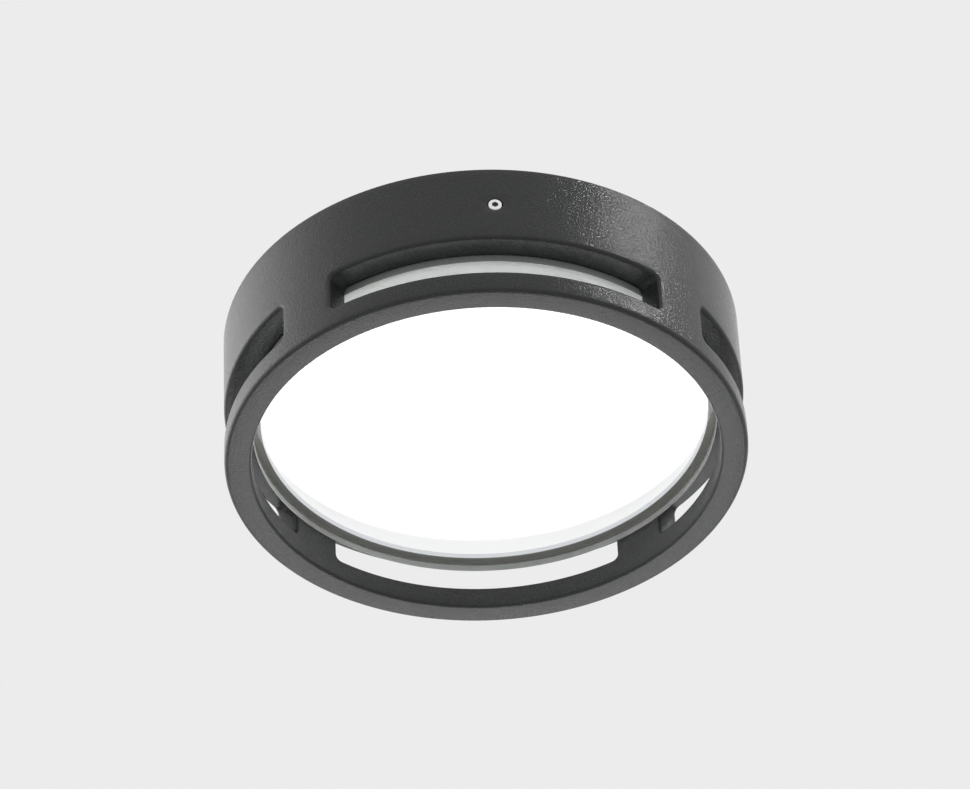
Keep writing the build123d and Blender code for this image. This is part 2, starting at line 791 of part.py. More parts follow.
# Reflector: white cone from the tray down to the diffuser
reflector_foot_radius = rim_bore - running_gap
with BuildPart() as reflector:
    with BuildSketch(Plane.XZ):
        with BuildLine():
            Polyline(
                (reflector_top_radius - reflector_foot, tray_bottom_z),
                (reflector_top_radius + reflector_wall, tray_bottom_z),
                (reflector_foot_radius, diffuser_top_z),
                (reflector_foot_radius - reflector_wall, diffuser_top_z),
                (reflector_top_radius, tray_bottom_z - reflector_wall),
                (reflector_top_radius - reflector_foot, tray_bottom_z - reflector_wall),
                close=True,
            )
        make_face()
    revolve(axis=Axis.Z)
save(reflector, "reflector")

# Diffuser: opal disc
with BuildPart() as diffuser:
    with BuildSketch(Plane.XY.offset(diffuser_bottom_z)):
        Circle(diffuser_radius)
    extrude(amount=diffuser_thickness)
save(diffuser, "diffuser")

# Light ring: centres the diffuser and carries its edge on a thin foot
with BuildPart() as diffuser_ring:
    with BuildSketch(Plane.XY.offset(glass_top_z + seat_gap)):
        Circle(bond_bore - slip_gap)
        Circle(diffuser_radius - ring_foot_reach, mode=Mode.SUBTRACT)
    extrude(amount=frame_floor_z - glass_top_z - seat_gap * 2)
    with BuildSketch(Plane.XY.offset(diffuser_bottom_z)):
        Circle(diffuser_radius + running_gap)
    extrude(amount=diffuser_thickness, mode=Mode.SUBTRACT)
save(diffuser_ring, "diffuser_ring")

# Glass frame: collar round the skirt with a shelf that the glass is bonded to
with BuildPart() as glass_frame:
    with BuildSketch(Plane.XZ):
        with BuildLine():
            Polyline(
                (bond_bore, frame_bottom_z),
                (glass_radius, frame_bottom_z),
                (glass_radius, frame_top_z),
                (frame_bore, frame_top_z),
                (frame_bore, frame_floor_z),
                (bond_bore, frame_floor_z),
                close=True,
            )
        make_face()
    revolve(axis=Axis.Z)
    for i in range(frame_screw_count):
        with BuildSketch(radial_plane(360 / frame_screw_count * i, skirt_bore, frame_screw_z)):
            Circle(m4_radius + slip_gap)
        extrude(amount=glass_radius - skirt_bore + cut_overrun, mode=Mode.SUBTRACT)
save(glass_frame, "glass_frame")

# Frame seal: O-ring in the skirt groove
with BuildPart() as frame_seal:
    with Locations((0, 0, frame_seal_z)):
        Torus(skirt_radius - seal_groove_depth + seat_gap + seal_cord / 2, seal_cord / 2)
save(frame_seal, "frame_seal")

# Frame screws: six button heads, driven from the side
frame_bolt = socket_screw(
    m4_radius,
    frame_screw_length,
    (button_head_radius, button_head_height, button_head_height / 2),
    (button_socket_width, button_socket_depth),
)
frame_turns = [360 / frame_screw_count * i for i in range(frame_screw_count)]
with BuildPart() as frame_screws:
    with Locations(*[radial_plane(turn, glass_radius + button_seat, frame_screw_z) for turn in frame_turns]):
        add(frame_bolt)
save(frame_screws, "frame_screws")

# Glass bond: bead of dark silicone between frame and glass
with BuildPart() as glass_bond:
    with BuildSketch(Plane.XY.offset(glass_top_z)):
        Circle(glass_radius - bond_inset)
        Circle(bond_bore, mode=Mode.SUBTRACT)
    extrude(amount=bond_thickness)
save(glass_bond, "glass_bond")

# Glass disc: thick clear glass with ground arrises
with BuildPart() as glass_disc:
    with BuildSketch(Plane.XY.offset(glass_bottom_z)):
        Circle(glass_radius)
    extrude(amount=glass_thickness)
    chamfer(glass_disc.edges(), glass_arris)
save(glass_disc, "glass_disc")
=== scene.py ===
from math import atan2, cos, hypot, pi, radians, sin, sqrt

import bmesh
import bpy
from mathutils import Matrix, Vector


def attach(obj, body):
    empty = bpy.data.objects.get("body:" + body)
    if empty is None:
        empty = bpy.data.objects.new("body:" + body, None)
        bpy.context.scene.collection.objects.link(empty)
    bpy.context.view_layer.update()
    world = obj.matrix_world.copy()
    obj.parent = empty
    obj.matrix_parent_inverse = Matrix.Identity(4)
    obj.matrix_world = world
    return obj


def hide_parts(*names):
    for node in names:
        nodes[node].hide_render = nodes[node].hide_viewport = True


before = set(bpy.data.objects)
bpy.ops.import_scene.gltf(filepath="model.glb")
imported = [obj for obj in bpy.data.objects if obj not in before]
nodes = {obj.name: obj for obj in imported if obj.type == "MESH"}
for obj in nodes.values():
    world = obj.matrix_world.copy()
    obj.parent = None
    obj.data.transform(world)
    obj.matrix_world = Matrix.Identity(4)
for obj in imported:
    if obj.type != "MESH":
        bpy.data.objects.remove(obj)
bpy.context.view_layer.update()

# Mounting plate: a 4 mm steel disc, laser cut, hot-dip galvanised and fixed to the ceiling first.
# Only its rim shows, in the shadow gap above the drum. From the back the zinc shows its spangle,
# crystals about a centimetre wide in two close greys.
mm = 0.001
first_colour, second_colour, mixed = 6, 7, 2  # a colour Mix node's sockets, which share their names


def linear(hex_colour):
    """An sRGB hex colour as linear red, green, blue and alpha."""
    parts = [int(hex_colour[i:i + 2], 16) / 255 for i in (0, 2, 4)]
    return tuple(c / 12.92 if c <= 0.04045 else ((c + 0.055) / 1.055) ** 2.4 for c in parts) + (1.0,)


def add_node(tree, kind, settings=None, links=None):
    """Adds a node, sets its sockets or properties, and feeds its inputs from (node, output)."""
    made = tree.nodes.new(kind)
    for name, value in (settings or {}).items():
        if isinstance(name, int) or name in made.inputs:
            made.inputs[name].default_value = value
        else:
            setattr(made, name, value)
    for name, (source, output) in (links or {}).items():
        tree.links.new(source.outputs[output], made.inputs[name])
    return made


def new_finish(name, constants):
    """A material with its shader's constants: the material, its tree, the shader and a pattern's place."""
    material = bpy.data.materials.new(name)
    material.use_nodes = True
    tree = material.node_tree
    shader = tree.nodes["Principled BSDF"]
    for socket, value in constants.items():
        shader.inputs[socket].default_value = value
    return material, tree, shader, {"Vector": (add_node(tree, "ShaderNodeTexCoord"), "Object")}


def wear(material, *names):
    """Gives CAD nodes their finish."""
    for name in names:
        for place in nodes[name].material_slots:
            place.material = material


spangle_size = 11.11 * mm
galvanised, tree, shader, on_piece = new_finish("Galvanised steel", {"Metallic": 1.0, "Roughness": 0.42})
spangle = add_node(tree, "ShaderNodeTexVoronoi", {"Scale": 1 / spangle_size}, on_piece)
shade = add_node(tree, "ShaderNodeMix", {
    "data_type": "RGBA", first_colour: linear("A9ADAF"), second_colour: linear("C4C8CA"),
}, {0: (spangle, "Color")})
tree.links.new(shade.outputs[mixed], shader.inputs["Base Color"])
wear(galvanised, "mounting_plate")

# Ceiling seal: closed-cell foam ring in the plate's groove, die cut and pressed in by hand. The
# grommet, the frame seal and the screws' O-rings are moulded rubber. All are matte black, with a
# skin of fine cells that breaks up any shine.
cell_size = 0.714 * mm
rubber, tree, shader, on_piece = new_finish("Black rubber", {
    "Base Color": linear("1E1E1F"), "Roughness": 0.75,
})
cells = add_node(tree, "ShaderNodeTexNoise", {"Scale": 1 / cell_size, "Detail": 2.0}, on_piece)
skin = add_node(tree, "ShaderNodeBump", {"Strength": 0.4, "Distance": 0.1 * mm}, {"Height": (cells, "Fac")})
tree.links.new(skin.outputs["Normal"], shader.inputs["Normal"])
wear(rubber, "ceiling_seal", "cable_grommet", "frame_seal")
wear(rubber, "screw_seal_front", "screw_seal_right", "screw_seal_left")

# Engine housing: die-cast aluminium bowl, shot-blasted and coated dark grey like the drum.
# It hides inside the drum. Its skirt shows in the gap over the drum and when the drum is down,
# dull, with the grit of the blasting under the coat.
grit_size = 1.43 * mm
housing_coat, tree, shader, on_piece = new_finish("Dark grey coated casting", {
    "Base Color": linear("4A4B4D"), "Roughness": 0.6,
})
grit = add_node(tree, "ShaderNodeTexNoise", {"Scale": 1 / grit_size, "Detail": 3.0}, on_piece)
skin = add_node(tree, "ShaderNodeBump", {"Strength": 0.5, "Distance": 0.08 * mm}, {"Height": (grit, "Fac")})
tree.links.new(skin.outputs["Normal"], shader.inputs["Normal"])
wear(housing_coat, "engine_housing")

# Breather plug, driver box, connector and terminal: moulded PBT, polycarbonate and polyamide.
# The spark-eroded mould leaves a fine even grain with a soft shine. They are sealed inside the
# housing or hidden above it, so the grain is all they show.
mould_grain = 0.45 * mm
for name, colour, members in (
    ("Black moulded PBT", "232325", ["breather_plug"]),
    ("White moulded polycarbonate", "E9E8E4", ["led_driver", "led_connector"]),
    ("Natural polyamide", "DAD6C4", ["terminal_block"]),
):
    moulded, tree, shader, on_piece = new_finish(name, {"Base Color": linear(colour), "Roughness": 0.5})
    grain = add_node(tree, "ShaderNodeTexNoise", {"Scale": 1 / mould_grain, "Detail": 2.0}, on_piece)
    skin = add_node(tree, "ShaderNodeBump", {"Strength": 0.25, "Distance": 0.05 * mm}, {
        "Height": (grain, "Fac"),
    })
    tree.links.new(skin.outputs["Normal"], shader.inputs["Normal"])
    wear(moulded, *members)

# Inner fixings: stainless machine screws with turned heads, and nickel-plated brass clamps.
# Turning leaves faint marks, drawn here as soft patches in the shine.
turning_mark = 0.667 * mm
for name, colour, rough, members in (
    ("Stainless steel", "C9C9C8", 0.28, [
        "plate_screws", "block_screws", "earth_screw", "tray_screws", "driver_screws", "board_screws",
        "frame_screws",
    ]),
    ("Nickel plated brass", "C7BFA2", 0.3, ["terminal_screws", "earth_lug"]),
):
    turned, tree, shader, on_piece = new_finish(name, {"Base Color": linear(colour), "Metallic": 1.0})
    marks = add_node(tree, "ShaderNodeTexNoise", {"Scale": 1 / turning_mark, "Detail": 1.0}, on_piece)
    spread = add_node(tree, "ShaderNodeMapRange", {
        "To Min": rough - 0.06, "To Max": rough + 0.08,
    }, {"Value": (marks, "Fac")})
    tree.links.new(spread.outputs["Result"], shader.inputs["Roughness"])
    wear(turned, *members)

# Gear tray: 2 mm aluminium sheet, pressed into a dish with an upturned rim and left bare.
# Rolling leaves fine lines along one way of the sheet, brighter and duller by turns.
line_length, line_gap = 25 * mm, 0.4167 * mm
sheet, tree, shader, on_piece = new_finish("Rolled aluminium sheet", {
    "Base Color": linear("D3D4D6"), "Metallic": 1.0,
})
stretch = add_node(tree, "ShaderNodeMapping", {"Scale": (1.0, line_length / line_gap, 1.0)}, on_piece)
lines = add_node(tree, "ShaderNodeTexNoise", {"Scale": 1 / line_length, "Detail": 4.0}, {
    "Vector": (stretch, "Vector"),
})
spread = add_node(tree, "ShaderNodeMapRange", {"To Min": 0.25, "To Max": 0.45}, {"Value": (lines, "Fac")})
tree.links.new(spread.outputs["Result"], shader.inputs["Roughness"])
wear(sheet, "gear_tray")

# Light board and leads: aluminium core with a white solder mask, packages with their yellow gel,
# and wires in grey silicone sleeves. The gel is a matte phosphor in clear silicone, so it keeps a
# soft shine. Each colour clouds slightly, as a printed or cast skin does.
cloud_size, cloud_depth = 3.33 * mm, 0.94
for name, colour, rough, members in (
    ("White solder mask", "F0F0EC", 0.35, ["led_board"]),
    ("Phosphor gel", "E8D46A", 0.3, ["led_packages"]),
    ("Silicone lead sleeve", "77797C", 0.45, ["mains_leads", "led_leads"]),
):
    coated, tree, shader, on_piece = new_finish(name, {"Roughness": rough})
    cloud = add_node(tree, "ShaderNodeTexNoise", {"Scale": 1 / cloud_size, "Detail": 2.0}, on_piece)
    darker = [cloud_depth * part for part in linear(colour)[:3]] + [1.0]
    shade = add_node(tree, "ShaderNodeMix", {
        "data_type": "RGBA", first_colour: linear(colour), second_colour: darker,
    }, {0: (cloud, "Fac")})
    tree.links.new(shade.outputs[mixed], shader.inputs["Base Color"])
    wear(coated, *members)

# Reflector: vacuum-formed white polycarbonate cone between the board and the diffuser.
# Its inside is matte, so that the disc below lights evenly, and its white varies a little where
# the sheet was drawn thin.
cloud_size = 8.33 * mm
reflector_white, tree, shader, on_piece = new_finish("Matte white polycarbonate", {"Roughness": 0.7})
cloud = add_node(tree, "ShaderNodeTexNoise", {"Scale": 1 / cloud_size, "Detail": 2.0}, on_piece)
shade = add_node(tree, "ShaderNodeMix", {
    "data_type": "RGBA", first_colour: linear("F4F4F2"), second_colour: linear("ECECEA"),
}, {0: (cloud, "Fac")})
tree.links.new(shade.outputs[mixed], shader.inputs["Base Color"])
wear(reflector_white, "reflector")


# Diffuser: a thin disc of opal acrylic with a lip, laid in the light ring and lit from behind.
# The eye gets an even white, most of it the disc's own light, so it glows here by itself and
# takes little lamplight.
def new_piece(name, mesh, crease):
    """An object of this mesh, shaded smooth but for edges sharper than the crease."""
    mesh.polygons.foreach_set("use_smooth", [True] * len(mesh.polygons))
    mesh.set_sharp_from_angle(angle=crease)
    made = bpy.data.objects.new(name, mesh)
    bpy.context.scene.collection.objects.link(made)
    return made


def turned_ring(name, outline, finish):
    """A lathe shape from an outline in mm, closed, or open where it starts and ends on the axis."""
    turning_steps, crease = 384, radians(35)
    closed = outline[0][0] > 0
    part = bmesh.new()
    line = [part.verts.new((radius * mm, 0.0, height * mm)) for radius, height in outline]
    pairs = list(zip(line, line[1:])) + ([(line[-1], line[0])] if closed else [])
    runs = [part.edges.new(pair) for pair in pairs]
    bmesh.ops.spin(
        part, geom=line + runs, axis=(0, 0, 1), cent=(0, 0, 0), angle=2 * pi, steps=turning_steps,
        use_merge=True,
    )
    bmesh.ops.remove_doubles(part, verts=part.verts, dist=0.0001 * mm)
    bmesh.ops.recalc_face_normals(part, faces=part.faces)
    mesh = bpy.data.meshes.new(name)
    part.to_mesh(mesh)
    part.free()
    mesh.materials.append(finish)
    return new_piece(name, mesh, crease)


haze_size = 40 * mm
opal, tree, shader, on_piece = new_finish("Opal acrylic", {
    "Roughness": 0.35, "Emission Color": linear("FFFFFF"), "Emission Strength": 0.905,
})
haze = add_node(tree, "ShaderNodeTexNoise", {"Scale": 1 / haze_size, "Detail": 1.0}, on_piece)
shade = add_node(tree, "ShaderNodeMix", {
    "data_type": "RGBA", first_colour: linear("7C7E7E"), second_colour: linear("787A7A"),
}, {0: (haze, "Fac")})
tree.links.new(shade.outputs[mixed], shader.inputs["Base Color"])
opal_disc = turned_ring("opal_disc", [
    (0, -43.5), (55, -43.5), (111.35, -43.5), (111.5, -43.45), (108.6, -43.42), (108.6, -42.3),
    (55, -42.3), (0, -42.3),
], opal)
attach(opal_disc, "engine")
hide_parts("diffuser")

# Light ring: satin grey polycarbonate that centres the disc and takes light to the glass's edge.
# Its flared inner wall shows as a pale rim along the far side of the white disc, and the light
# inside it is given as a little light of its own.
haze_size = 16.67 * mm
ring_grey, tree, shader, on_piece = new_finish("Satin grey polycarbonate", {
    "Roughness": 0.3, "Emission Color": linear("E7E8EA"), "Emission Strength": 0.41,
})
haze = add_node(tree, "ShaderNodeTexNoise", {"Scale": 1 / haze_size, "Detail": 1.0}, on_piece)
shade = add_node(tree, "ShaderNodeMix", {
    "data_type": "RGBA", first_colour: linear("D3D6D9"), second_colour: linear("CBCFD2"),
}, {0: (haze, "Fac")})
tree.links.new(shade.outputs[mixed], shader.inputs["Base Color"])
light_ring = turned_ring("light_ring", [
    (111.75, -45.68), (111.2, -43.52), (111.9, -43.52), (111.9, -45.68),
], ring_grey)
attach(light_ring, "engine")
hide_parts("diffuser_ring")

# Glass frame: turned aluminium ring, dark anodised, that carries the glass on a bead of silicone.
# Only its outer side shows, over the glass and when the drum is down: a dull metal grey that the
# turning tool left in finely different tones.
tool_mark = 1.111 * mm
anodised, tree, shader, on_piece = new_finish("Dark anodised aluminium", {"Metallic": 0.7, "Roughness": 0.45})
cuts = add_node(tree, "ShaderNodeTexNoise", {"Scale": 1 / tool_mark, "Detail": 1.0}, on_piece)
shade = add_node(tree, "ShaderNodeMix", {
    "data_type": "RGBA", first_colour: linear("4B504E"), second_colour: linear("3F4442"),
}, {0: (cuts, "Fac")})
tree.links.new(shade.outputs[mixed], shader.inputs["Base Color"])
wear(anodised, "glass_frame")


# Glass bond: grey silicone run between frame and glass, and drawn down over the glass's upper edge.
# Seen through the glass it is the grey-green rim round the disc, a little cloudy from its filler.
# Its outer skin was tooled by hand, so it shines more and ripples.
def dress_beyond(piece, radius, finish):
    """Gives the faces farther from the axis than this radius in mm a finish of their own."""
    piece.data.materials.append(finish)
    for face in piece.data.polygons:
        if hypot(face.center.x, face.center.y) > radius * mm:
            face.material_index = 1


filler_cloud, ripple = 1.111 * mm, 1 * mm
silicone, tree, shader, on_piece = new_finish("Cured grey silicone", {"Roughness": 0.5})
cloud = add_node(tree, "ShaderNodeTexNoise", {"Scale": 1 / filler_cloud, "Detail": 2.0}, on_piece)
shade = add_node(tree, "ShaderNodeMix", {
    "data_type": "RGBA", first_colour: linear("AEAEA9"), second_colour: linear("9A9A95"),
}, {0: (cloud, "Fac")})
tree.links.new(shade.outputs[mixed], shader.inputs["Base Color"])
silicone_skin, tree, shader, on_piece = new_finish("Silicone skin tooled by hand", {"Roughness": 0.35})
ripples = add_node(tree, "ShaderNodeTexNoise", {"Scale": 1 / ripple, "Detail": 2.0}, on_piece)
shade = add_node(tree, "ShaderNodeMix", {
    "data_type": "RGBA", first_colour: linear("B4B6B5"), second_colour: linear("8C8F8E"),
}, {0: (ripples, "Fac")})
tooled = add_node(tree, "ShaderNodeBump", {"Strength": 0.8, "Distance": 0.2 * mm}, {
    "Height": (ripples, "Fac"),
})
tree.links.new(shade.outputs[mixed], shader.inputs["Base Color"])
tree.links.new(tooled.outputs["Normal"], shader.inputs["Normal"])
bead = turned_ring("silicone_bead", [
    (112, -45.83), (112, -45), (115.8, -45), (116.3, -45.3), (116.42, -46), (116.42, -48.7),
    (116.3, -49.1), (115.97, -49.3), (115.97, -46.5), (115.3, -45.83),
], silicone)
skin_radius = 116.2
dress_beyond(bead, skin_radius, silicone_skin)
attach(bead, "engine")
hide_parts("glass_bond")

# Glass disc: 12 mm float glass cut round, its faces left as made, its rim ground matt with 0.7 mm
# arrises. Float glass is faintly green, and that is its only pattern. The ground rim glows with
# the light that runs inside the glass, given here as a little light of its own.
glass_finishes = []
for name, rough, glow in (("Clear float glass", 0.0, 0.0), ("Ground glass edge", 1.0, 0.09)):
    finish, tree = new_finish(name, {
        "Base Color": linear("FFFFFF"), "Transmission Weight": 1.0, "IOR": 1.5, "Roughness": rough,
        "Emission Color": linear("FFFEFC"), "Emission Strength": glow,
    })[:2]
    depth = add_node(tree, "ShaderNodeVolumeAbsorption", {"Color": linear("E6EDEA"), "Density": 1.5})
    tree.links.new(depth.outputs["Volume"], tree.nodes["Material Output"].inputs["Volume"])
    glass_finishes.append(finish)
float_glass, ground_glass = glass_finishes

glass_radius, glass_low, glass_high, arris = 116, -57.8, -45.8, 0.7
glass = turned_ring("clear_glass", [
    (0, glass_low), (glass_radius / 2, glass_low), (glass_radius - arris, glass_low),
    (glass_radius, glass_low + arris), (glass_radius, (glass_low + glass_high) / 2),
    (glass_radius, glass_high - arris), (glass_radius - arris, glass_high), (glass_radius / 2, glass_high),
    (0, glass_high),
], float_glass)
dress_beyond(glass, glass_radius - arris, ground_glass)
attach(glass, "engine")
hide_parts("glass_disc")

# Drum: one aluminium die casting, the thick lower ring and the thin sleeve joined by four posts.
# Tumbled so that every edge is round, then powder coated. Its section runs up the outer wall and
# down the inner one, and columns of points go round, closest together at the window corners.
drum_radius, ring_bore, sleeve_bore = 130 * mm, 116.55 * mm, 124.5 * mm
lower_z, top_z = -80 * mm, -1.5 * mm
outer_edge, inner_edge, top_edge = 2.3 * mm, 1.7 * mm, 1 * mm
sill, head, ledge = -67.6 * mm, -46.2 * mm, -42 * mm
half_window = radians(37.95)
corner = 3 * mm
flare = {"out": 2 * mm, "in": 1.7 * mm}
wall = {"out": drum_radius, "in": ring_bore}
screw_z, screw_patch = -24.7 * mm, 6.9 * mm
side_screw_angles = {"front": radians(-90), "right": radians(30), "left": radians(150)}

# rows and steps that only carry the mesh: they keep its faces even and its shading smooth
outer_ring_rows, inner_ring_row = [-74.5 * mm, -71.5 * mm], -74 * mm
row_over_head, rows_over_screw = -38 * mm, [-12 * mm, -6 * mm]
reveal_radii = (124.7 * mm, 121.5 * mm)
corner_steps, straight_steps, post_steps, side_steps = 6, 60, 8, 3
outer_steps, inner_steps, top_steps = 6, 5, 4
patch_steps = 6


def corner_inset(spread, step):
    """How far in from the opening's edge its rounded corner is at a step, flared by the spread."""
    return corner - (corner + spread) * cos(pi / 2 * step / corner_steps)


def window_columns(side):
    """Angles of the mesh columns all round, so that they meet the window corners on this wall."""
    reach = [half_window - corner_inset(flare[side], step) / wall[side] for step in range(corner_steps + 1)]
    post = pi / 2 - 2 * reach[0]
    found = []
    for quarter in range(4):
        middle = pi / 2 * quarter
        found += [middle - angle for angle in reach]
        found += [middle + reach[-1] * (2 * step / straight_steps - 1) for step in range(1, straight_steps)]
        found += [middle + angle for angle in reversed(reach)]
        found += [middle + reach[0] + post * step / post_steps for step in range(1, post_steps)]
    return found


def window_rows(side):
    """Heights of the mesh rows from sill to head on this wall."""
    low = [sill + corner_inset(flare[side], step) for step in range(corner_steps + 1)]
    high = [head + sill - height for height in reversed(low)]
    return low + [low[-1] + (high[0] - low[-1]) * step / side_steps for step in range(1, side_steps)] + high


def upright(side, radius, heights):
    """Points of the section up or down a wall."""
    return [(side, radius, height) for height in heights]


def rounded_edge(side, middle_radius, middle_height, edge, start, steps):
    """Points of the section round an edge, from one angle a quarter turn on."""
    turns = [start + pi / 2 * step / steps for step in range(steps + 1)]
    return [(side, middle_radius + edge * cos(turn), middle_height + edge * sin(turn)) for turn in turns]


patch_rows = [screw_z + screw_patch * (2 * step / patch_steps - 1) for step in range(patch_steps + 1)]
section = rounded_edge(
    "out", drum_radius - outer_edge, lower_z + outer_edge, outer_edge, -pi / 2, outer_steps,
)
section += upright("out", drum_radius, outer_ring_rows)
window_out = len(section)
section += upright("out", drum_radius, window_rows("out") + [row_over_head])
patch_out = len(section)
section += upright("out", drum_radius, patch_rows + rows_over_screw)
section += rounded_edge("out", drum_radius - top_edge, top_z - top_edge, top_edge, 0, top_steps)
section += upright("in", sleeve_bore, [top_z] + rows_over_screw[::-1])
patch_in = len(section)
section += upright("in", sleeve_bore, patch_rows[::-1] + [row_over_head, ledge])
section += upright("in", ring_bore, [ledge])
window_in = len(section)
section += upright("in", ring_bore, window_rows("in")[::-1] + [inner_ring_row])
section += rounded_edge("in", ring_bore + inner_edge, lower_z + inner_edge, inner_edge, pi, inner_steps)

columns = {side: window_columns(side) for side in ("out", "in")}
rows, count = len(section), len(columns["out"])
quarter_columns = count // 4
window_high = 2 * corner_steps + side_steps
window_wide = 2 * corner_steps + straight_steps
points = [
    (radius * cos(angle), radius * sin(angle), height)
    for side, radius, height in section
    for angle in columns[side]
]
faces = []


def grid(row, column):
    """Number of the mesh point at a row and column, both running round."""
    return (row % rows) * count + column % count


def screw_block(angle):
    """First of the columns that a side screw's patch takes away."""
    nearest = min(range(count), key=lambda i: abs((columns["out"][i] - angle + pi) % (2 * pi) - pi))
    return nearest - patch_steps // 2


# cells of the walls: none in a window or a screw's patch, and a cell that a rounded corner cuts
# loses its point inside the opening, found by whether it is in the left half and the first rows
cut_point = {(True, True): 2, (False, True): 3, (False, False): 0, (True, False): 1}
blocks = {name: screw_block(angle) for name, angle in side_screw_angles.items()}
for row in range(rows):
    for column in range(count):
        cell = [grid(row, column), grid(row, column + 1), grid(row + 1, column + 1), grid(row + 1, column)]
        across = column % quarter_columns
        for first_row in (window_out, window_in):
            up = row - first_row
            if 0 <= up < window_high and across < window_wide:
                from_side = min(across, window_wide - 1 - across)
                from_end = min(up, window_high - 1 - up)
                if from_side + from_end >= corner_steps:
                    cell = None
                elif from_side + from_end == corner_steps - 1:
                    cell.pop(cut_point[across < window_wide / 2, up < window_high / 2])
        in_patch_rows = any(0 <= row - first_row < patch_steps for first_row in (patch_out, patch_in))
        if in_patch_rows and any((column - block) % count < patch_steps for block in blocks.values()):
            cell = None
        if cell:
            faces.append(cell)


def add_ring(places):
    """Adds a ring of points to the casting and gives their numbers."""
    points.extend(places)
    return list(range(len(points) - len(places), len(points)))


def bridge(ring, other):
    """Faces from one ring of points to another of as many."""
    return [[ring[i - 1], ring[i], other[i], other[i - 1]] for i in range(len(ring))]


def opening_loop(first_row, first_column, downwards):
    """Steps up and across, and mesh points, round one window, anticlockwise seen from outside."""
    curve, run, side = corner_steps, straight_steps, side_steps
    loop = [(curve - step, step) for step in range(curve + 1)]
    loop += [(0, curve + step) for step in range(1, run)]
    loop += [(step, curve + run + step) for step in range(curve + 1)]
    loop += [(curve + step, 2 * curve + run) for step in range(1, side)]
    loop += [(curve + side + step, 2 * curve + run - step) for step in range(curve + 1)]
    loop += [(2 * curve + side, curve + run - step) for step in range(1, run)]
    loop += [(2 * curve + side - step, curve - step) for step in range(curve + 1)]
    loop += [(curve + side - step, 0) for step in range(1, side)]
    numbers = [
        grid(first_row + (window_high - up if downwards else up), first_column + across)
        for up, across in loop
    ]
    return loop, numbers


def opening_point(up, across, radius, spread, middle):
    """Place of a step of the loop on the opening's wall at a radius, flared by the spread."""
    from_side = min(across, window_wide - across)
    from_end = min(up, window_high - up)
    if from_side <= corner_steps:
        angle = half_window - corner_inset(spread, from_side) / radius
        angle *= -1 if across < window_wide / 2 else 1
    else:
        angle = (half_window - corner / radius) * (2 * (across - corner_steps) / straight_steps - 1)
    if from_end <= corner_steps:
        inset = corner_inset(spread, from_end)
        height = sill + inset if up < window_high / 2 else head - inset
    else:
        height = sill + corner + (head - sill - 2 * corner) * (up - corner_steps) / side_steps
    return (radius * cos(middle + angle), radius * sin(middle + angle), height)


# window reveals: rings that follow the opening from the outer wall to the inner one, each with
# its radius and the spread of its edge
reveal = [
    (drum_radius - flare["out"] * (1 - cos(turn)), flare["out"] * (1 - sin(turn)))
    for turn in [pi / 2 * step / outer_steps for step in range(1, outer_steps + 1)]
]
reveal += [(radius, 0.0) for radius in reveal_radii]
reveal += [
    (ring_bore + flare["in"] * (1 - sin(turn)), flare["in"] * (1 - cos(turn)))
    for turn in [pi / 2 * step / inner_steps for step in range(inner_steps)]
]
for quarter in range(4):
    loop, ring = opening_loop(window_out, quarter * quarter_columns, False)
    for radius, spread in reveal:
        fresh = add_ring([opening_point(up, across, radius, spread, pi / 2 * quarter) for up, across in loop])
        faces += bridge(ring, fresh)
        ring = fresh
    faces += bridge(ring, opening_loop(window_in, quarter * quarter_columns, True)[1])


def patch_edge(first_row, first_column, downwards):
    """Mesh points round the square that a screw hole is set into, anticlockwise."""
    size = patch_steps
    loop = [(0, step) for step in range(size)] + [(step, size) for step in range(size)]
    loop += [(size, size - step) for step in range(size)] + [(size - step, 0) for step in range(size)]
    return [grid(first_row + (size - up if downwards else up), first_column + across) for up, across in loop]


# screw holes: sunk seat with a broken edge, clear hole, and the boss inside the sleeve. Each ring
# has its radius, its distance from the drum's axis, and whether it follows the drum's round.
seat_radius, seat_edge, seat_dip, seat_floor = 3.85 * mm, 0.3 * mm, 0.08 * mm, 124.8 * mm
hole_radius = 2.05 * mm
boss_radius, boss_edge, boss_face = 5.5 * mm, 0.3 * mm, 119 * mm
hole_rings = (
    (seat_radius + seat_edge, drum_radius, True),
    (seat_radius + seat_edge / 3, drum_radius - seat_dip, True),
    (seat_radius, drum_radius - seat_edge, True),
    (seat_radius, seat_floor, False),
    (hole_radius, seat_floor, False),
    (hole_radius, boss_face, False),
    (boss_radius - boss_edge, boss_face, False),
    (boss_radius, boss_face + boss_edge, False),
    (boss_radius, sleeve_bore, True),
)
for name, angle in side_screw_angles.items():
    outward = Vector((cos(angle), sin(angle), 0))
    sideways = Vector((-sin(angle), cos(angle), 0))
    ring = patch_edge(patch_out, blocks[name], False)
    corners = [Vector(points[number]) for number in ring]
    turns = [atan2(place.z - screw_z, place.dot(sideways)) for place in corners]
    for radius, depth, curved in hole_rings:
        places = []
        for turn in turns:
            aside = radius * cos(turn)
            out = sqrt(depth * depth - aside * aside) if curved else depth
            place = outward * out + sideways * aside
            places.append((place.x, place.y, screw_z + radius * sin(turn)))
        fresh = add_ring(places)
        faces += bridge(ring, fresh)
        ring = fresh
    faces += bridge(ring, patch_edge(patch_in, blocks[name], True))

cast = bpy.data.meshes.new("drum_casting")
cast.from_pydata(points, [], faces)
shell = bmesh.new()
shell.from_mesh(cast)
bmesh.ops.recalc_face_normals(shell, faces=shell.faces)
open_edges = [edge for edge in shell.edges if not edge.is_manifold]
if open_edges:
    raise ValueError(f"the drum's mesh is open at {len(open_edges)} edges")
shell.to_mesh(cast)
shell.free()

